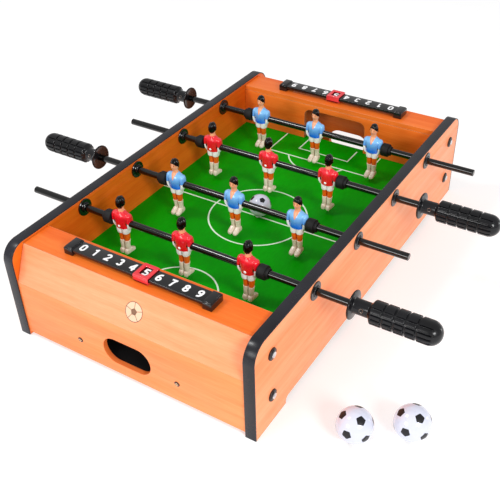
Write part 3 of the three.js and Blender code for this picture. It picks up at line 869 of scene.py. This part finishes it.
def face_marks():
    """Painted eyes and brows: flattened beads half sunk in the skin, as (bmesh, paint)."""
    marks = []
    for away, up, half in EYE, BROW:
        for sign in (-1, 1):
            bead = bmesh.new()
            bmesh.ops.create_icosphere(bead, subdivisions=3, radius=MM)
            at = head_point(math.pi / 2 + sign * away, up, False)
            marks.append((moved(bead, Matrix.Translation(at) @ Matrix.Diagonal((*half, 1))), HAIR))
    return marks


def mirrored(rows, sign):
    return [(place, sign * cx, *rest) for place, cx, *rest in rows]


def figure_mesh():
    parts = [(head_mesh(), SKIN), (head_mesh(True), HAIR)]
    for paint, twice, rows in FIGURE:
        for sign in (1, -1) if twice else (1,):
            parts.append((loft(mirrored(rows, sign)), paint))
    parts += [(loft(mirrored(BOOT, sign), upright=False), CREAM) for sign in (1, -1)]
    seat = Matrix.Translation(STUD_AT * MM) @ Matrix.Rotation(-math.pi / 2, 4, "Z")
    return merge(parts + face_marks() + [(moved(turned(STUD, 24, MM, MM), seat), WHITE)])


def build_players():
    first = {}
    for n in RODS:
        team = "red" if f"player_red_{n}a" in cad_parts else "blue"
        axis = rod_axis(n)
        for letter in "abc":
            node = f"player_{team}_{n}{letter}"
            low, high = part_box(node)
            if team not in first:
                paints = ("skin", "hair", "shirt_" + team, "white", "orange", "cream")
                figure = link_mesh(f"figure_{team}_{n}{letter}", figure_mesh(), paints, 60)
                first[team] = figure.data
            else:
                figure = bpy.data.objects.new(f"figure_{team}_{n}{letter}", first[team])
                scene.collection.objects.link(figure)
            figure.location = ((low.x + high.x) / 2, axis.y, axis.z)
            figure.rotation_euler.z = math.pi if team == "blue" else 0.0
            settle(figure, f"rod_{n}", f"player_{team}", node)


# ---- score rails
DIGIT = {"middle": 4.5, "pitch": 15.9 * MM, "line": 2.1 * MM, "thick": 0.12 * MM, "arris": 0.03 * MM}
BLOCK_LENGTH = 10.8 * MM
BAR_HALF_Y = 8.7 * MM
BAR_TOP, BAR_THICK = 121.3 * MM, 3.7 * MM
SLACK = 0.35 * MM
BAR_SHORT = 2 * MM
BLOCK_STEP = {"in": 0.9 * MM, "down": 1.2 * MM, "overlap": 3 * MM}
WINDOW = (4.9 * MM, 6.1 * MM, 0.5 * MM)
MARKER_R = 1.2 * MM
WALL_SHORT = 0.5 * MM
ROUND = {"bar": 0.5 * MM, "block": 0.6 * MM, "cap": 0.7 * MM, "plate": 0.45 * MM, "wall": 0.4 * MM}


def digit_strokes():
    """The ten digits as strokes about their centres, in millimetres: (points, closed)."""
    six = [(circle(0, -1.85, 2.2, 24), True),
           ([(-2.2, -1.9), (-2.15, 0.1), (-1.5, 2.3), (-0.3, 3.7), (1.2, 4.15), (2.1, 4.1)], False)]
    return [
        [(rounded_rectangle(-2.3, 2.3, -4.15, 4.15, 2.25, 8), True)],
        [([(0.6, -5.2), (0.6, 5.2)], False), ([(0.8, 4.4), (-0.5, 3.4), (-2.2, 2.7)], False)],
        [(arc(0, 1.85, 2.3, 1.9, -0.45, 16) + [(-1.9, -3.7)], False), ([(-2.9, -4.15), (3.1, -4.15)], False)],
        [(arc(-0.1, 2.1, 2.05, 1.75, -0.9, 16), False), (arc(-0.1, -1.95, 2.2, 0.9, -1.75, 16), False)],
        [([(1.2, -5.2), (1.2, 5.2)], False), ([(0.9, 4.4), (-2.6, -1.3)], False),
         ([(-3.3, -1.9), (3, -1.9)], False)],
        [([(-2.2, 4.15), (2.8, 4.15)], False), ([(-1.6, 4.6), (-2.0, 0.3)], False),
         (arc(-0.2, -1.7, 2.45, 1.5, -1.65, 18), False)],
        six,
        [([(-2.9, 4.15), (3.1, 4.15)], False), ([(2.1, 4.4), (0.5, 1.2), (-0.6, -5.2)], False)],
        [(circle(0, 2.1, 1.95, 24), True), (circle(0, -1.95, 2.2, 24), True)],
        [([(-x, -y) for x, y in points], closed) for points, closed in six],
    ]


def build_rail(end):
    low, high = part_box(f"score_rail_{end}")
    y = (low.y + high.y) / 2
    flip = end == "far"
    step = BLOCK_STEP
    parts = [rounded_block((low.x + BAR_SHORT, y - BAR_HALF_Y, BAR_TOP - BAR_THICK),
                           (high.x - BAR_SHORT, y + BAR_HALF_Y, BAR_TOP), ROUND["bar"])]
    for x in (low.x, high.x - BLOCK_LENGTH):
        far = x + BLOCK_LENGTH
        parts.append(rounded_block((x, low.y, low.z), (far, high.y, high.z - step["down"]), ROUND["block"]))
        parts.append(rounded_block((x + step["in"], low.y + step["in"], high.z - step["overlap"]),
                                   (far - step["in"], high.y - step["in"], high.z), ROUND["cap"]))
    piece(f"number_rail_{end}", merge(parts), ("black",), "root", "black_plastic", f"score_rail_{end}")
    digits = []
    for value, strokes in enumerate(digit_strokes()):
        x = (value - DIGIT["middle"]) * DIGIT["pitch"] * (-1 if flip else 1)
        for i, (points, closed) in enumerate(strokes):
            outlines = ribbon([(px * MM, py * MM) for px, py in points], DIGIT["line"], closed)
            bm = board_mesh(outlines, -DIGIT["thick"], DIGIT["thick"] * (1 + i / 8), "Z", DIGIT["arris"])
            digits.append(shift(bm, x, y, BAR_TOP, flip))
    piece(f"numbers_{end}", merge(digits), ("ink",), "root", "black_plastic")


def build_slider(end):
    low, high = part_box(f"score_slider_{end}")
    middle = (low + high) / 2
    half_x, half_y, r = WINDOW
    plate = rounded_rectangle(low.x, high.x, low.y, high.y, MARKER_R, 6)
    window = rounded_rectangle(middle.x - half_x, middle.x + half_x,
                               middle.y - half_y, middle.y + half_y, r, 4)
    wall = high.y - middle.y - BAR_HALF_Y - SLACK
    parts = [board_mesh([plate, window], BAR_TOP + SLACK, high.z, "Z", ROUND["plate"])]
    for y in (low.y, high.y - wall):
        parts.append(rounded_block((low.x, y, low.z), (high.x, y + wall, high.z - WALL_SHORT), ROUND["wall"]))
    parts.append(rounded_block((low.x, low.y, low.z), (high.x, high.y, BAR_TOP - BAR_THICK - SLACK),
                               ROUND["wall"]))
    body = f"score_slider_{end}"
    piece(f"marker_{end}", merge(parts), ("red",), body, "red_plastic", body)


# ---- fasteners and emblem
SIDE_BOLT = {"y": 224.5 * MM, "z": (36.5 * MM, 90 * MM), "r": 6.6 * MM, "dome": 0.9}
END_SCREW = {"x": 62 * MM, "z": 29 * MM, "r": 3.2 * MM, "cross_at": 0.7 * MM}
CROSS = {"long": 0.62, "wide": 0.16, "proud": 0.12 * MM}
# Heads as pairs of a share of the radius and a height in millimetres.
DOME = [(0, -0.2), (1, -0.2)] + [(share, 3.1 * rise) for share, rise in arc(0, 0, 1, 0, 1)[:-1]] + [(0, 3.1)]
RIM = [(0.84, 0), (0.97, 0), (1, 0.3), (0.99, 1.0), (0.95, 1.4), (0.9, 1.5), (0.84, 1.3)]
BUTTON = [(0, 2.4), (0.5, 2.4), (0.47, 3.0), (0.36, 3.35), (0.2, 3.5), (0, 3.55)]
SCREW_HEAD = [(0, -0.3), (1, -0.3), (1, 0.15), (0.8, 0.55), (0.4, 0.75), (0, 0.8)]
EMBLEM = {"down": 0.52, "aside": 10.7 * MM, "sunk": 0.02 * MM, "r": 10.5 * MM, "rim": 0.7 * MM,
          "pentagon": 3.9 * MM, "spoke_from": 3.6 * MM, "spoke": 0.6 * MM, "paper": 0.06 * MM,
          "ink": 0.1 * MM}


def cross_mesh():
    """A cross drive's two bars, proud of an end screw's head whose axis is along X."""
    r, at = END_SCREW["r"], END_SCREW["cross_at"]
    sizes = ((CROSS["long"] * r, CROSS["wide"] * r), (CROSS["wide"] * r, CROSS["long"] * r))
    return merge([rounded_block((at, -a, -b), (at + CROSS["proud"], a, b), 0.05 * MM, 1) for a, b in sizes])


def build_fasteners():
    r = SIDE_BOLT["r"]
    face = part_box("side_panel_right")[1].x
    for side, sign in (("left", -1), ("right", 1)):
        for end, y in (("near", -SIDE_BOLT["y"]), ("far", SIDE_BOLT["y"])):
            for level, z in zip(("low", "high"), SIDE_BOLT["z"]):
                # the dome is bright steel as a painted highlight, under a black button and inside a brown rim
                bm = merge([(turned(DOME, 48, r * SIDE_BOLT["dome"], MM), 2), (turned(RIM, 48, r, MM), 1),
                            turned(BUTTON, 40, r, MM)])
                bm = shift(bm, sign * face, y, z, sign < 0)
                paints = ("highlight_bright_steel", "bolt_rim", "black")
                piece(f"side_bolt_{side}_{end}_{level}", bm, paints, "root", "black_plastic", smooth_deg=35)
    for end, sign in (("near", -1), ("far", 1)):
        face = max(abs(c.y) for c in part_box(f"end_board_{end}"))
        for side, x in (("left", -END_SCREW["x"]), ("right", END_SCREW["x"])):
            bm = merge([turned(SCREW_HEAD, 32, END_SCREW["r"], MM), (cross_mesh(), 1)])
            bm = moved(bm, Matrix.Rotation(sign * math.pi / 2, 4, "Z"))
            bm = shift(bm, x, sign * face, END_SCREW["z"])
            paints = ("bolt_rim", "screw")
            piece(f"end_screw_{end}_{side}", bm, paints, "root", "black_plastic", smooth_deg=35)


def pentagon(size):
    return [(size * math.sin(TAU * k / 5), size * math.cos(TAU * k / 5)) for k in range(5)]


def build_emblem():
    """A plain printed ball on the sloped board at the near end."""
    e = EMBLEM
    corners = [Vector((0, y, z)) for y, z in section("sloped_board_near")]
    top_edge = max(corners, key=lambda corner: corner.z)
    bend = min(corners, key=lambda corner: corner.y)
    down = (bend - top_edge).normalized()
    out = Vector((1, 0, 0)).cross(-down).normalized()
    at = top_edge.lerp(bend, e["down"]) + Vector((e["aside"], 0, 0)) + out * e["sunk"]
    edge = circle(0, 0, e["r"], 64)
    printed = [[edge, circle(0, 0, e["r"] - e["rim"], 64)], [pentagon(e["pentagon"])[::-1]]]
    printed += [ribbon(ends, e["spoke"]) for ends in zip(pentagon(e["spoke_from"]), pentagon(e["r"]))]
    parts = [board_mesh([edge], 0, e["paper"], "Z", 0.01 * MM)]
    parts += [(board_mesh(outlines, e["sunk"], e["ink"], "Z", 0.01 * MM), 1) for outlines in printed]
    turn = Matrix((Vector((1, 0, 0)), -down, out)).transposed().to_4x4()
    bm = moved(merge(parts), Matrix.Translation(at) @ turn)
    piece("ball_emblem", bm, ("emblem_pale", "emblem_line"), "root", "panel_board")


# ---- balls
PATCH = {"reach": math.radians(15.8), "rounding": 1.2, "round_from": 0.86, "proud": 0.025 * MM,
         "sunk": 0.985, "rings": 7, "sides": 50}
BALL_TURN = [math.radians(angle) for angle in (-140, -31, 131)]


def icosahedron_points():
    golden = (1 + math.sqrt(5)) / 2
    return [Vector(p).normalized() for a in (-1, 1) for b in (-golden, golden)
            for p in ((0, a, b), (a, b, 0), (b, 0, a))]


def patch_mesh(r, pole, toward):
    """A round-cornered pentagon on a ball of radius r, centred on pole and turned toward another pole."""
    aside = pole.cross(toward)
    bm = bmesh.new()
    rings = [[bm.verts.new(pole * (r + PATCH["proud"]))]]
    for j in range(1, PATCH["rings"] + 2):
        share = min(j, PATCH["rings"]) / PATCH["rings"]
        skin = r + PATCH["proud"] if j <= PATCH["rings"] else r * PATCH["sunk"]
        ring = []
        for k in range(PATCH["sides"]):
            turn = TAU * k / PATCH["sides"]
            edge = math.cos(TAU / 10) / math.cos(turn % (TAU / 5) - TAU / 10)
            rounded = edge - PATCH["rounding"] * max(edge - PATCH["round_from"], 0) ** 2
            angle = PATCH["reach"] * share * rounded
            way = toward * math.cos(turn) + aside * math.sin(turn)
            ring.append(bm.verts.new((way * math.sin(angle) + pole * math.cos(angle)) * skin))
        rings.append(ring)
    bridge(bm, rings)
    bm.faces.new(rings[-1])
    return bm


def ball_mesh(r):
    bm = bmesh.new()
    bmesh.ops.create_icosphere(bm, subdivisions=5, radius=r)
    parts = [bm]
    for pole in icosahedron_points():
        nearest = max((p for p in icosahedron_points() if p.dot(pole) < 0.9), key=lambda p: p.dot(pole))
        toward = (nearest - pole * nearest.dot(pole)).normalized()
        parts.append((patch_mesh(r, pole, toward), 1))
    return merge(parts)


def build_balls():
    for node in ("ball_field", "ball_spare_1", "ball_spare_2"):
        low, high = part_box(node)
        bm = moved(ball_mesh((high.z - low.z) / 2), Euler(BALL_TURN).to_matrix().to_4x4())
        ball = link_mesh(node.replace("ball", "football"), bm, ("ball_white", "ball_black"), 60)
        ball.location = (low + high) / 2
        settle(ball, node, "ball", node)


# ---- the whole object
make_camera()
make_studio()
build_panels()
build_goal_boxes()
build_pitch()
build_bushings()
for number in RODS:
    build_rod(number)
    build_bumpers(number)
    build_handle(number)
build_players()
for place in ("near", "far"):
    build_rail(place)
    build_slider(place)
build_fasteners()
build_emblem()
build_balls()
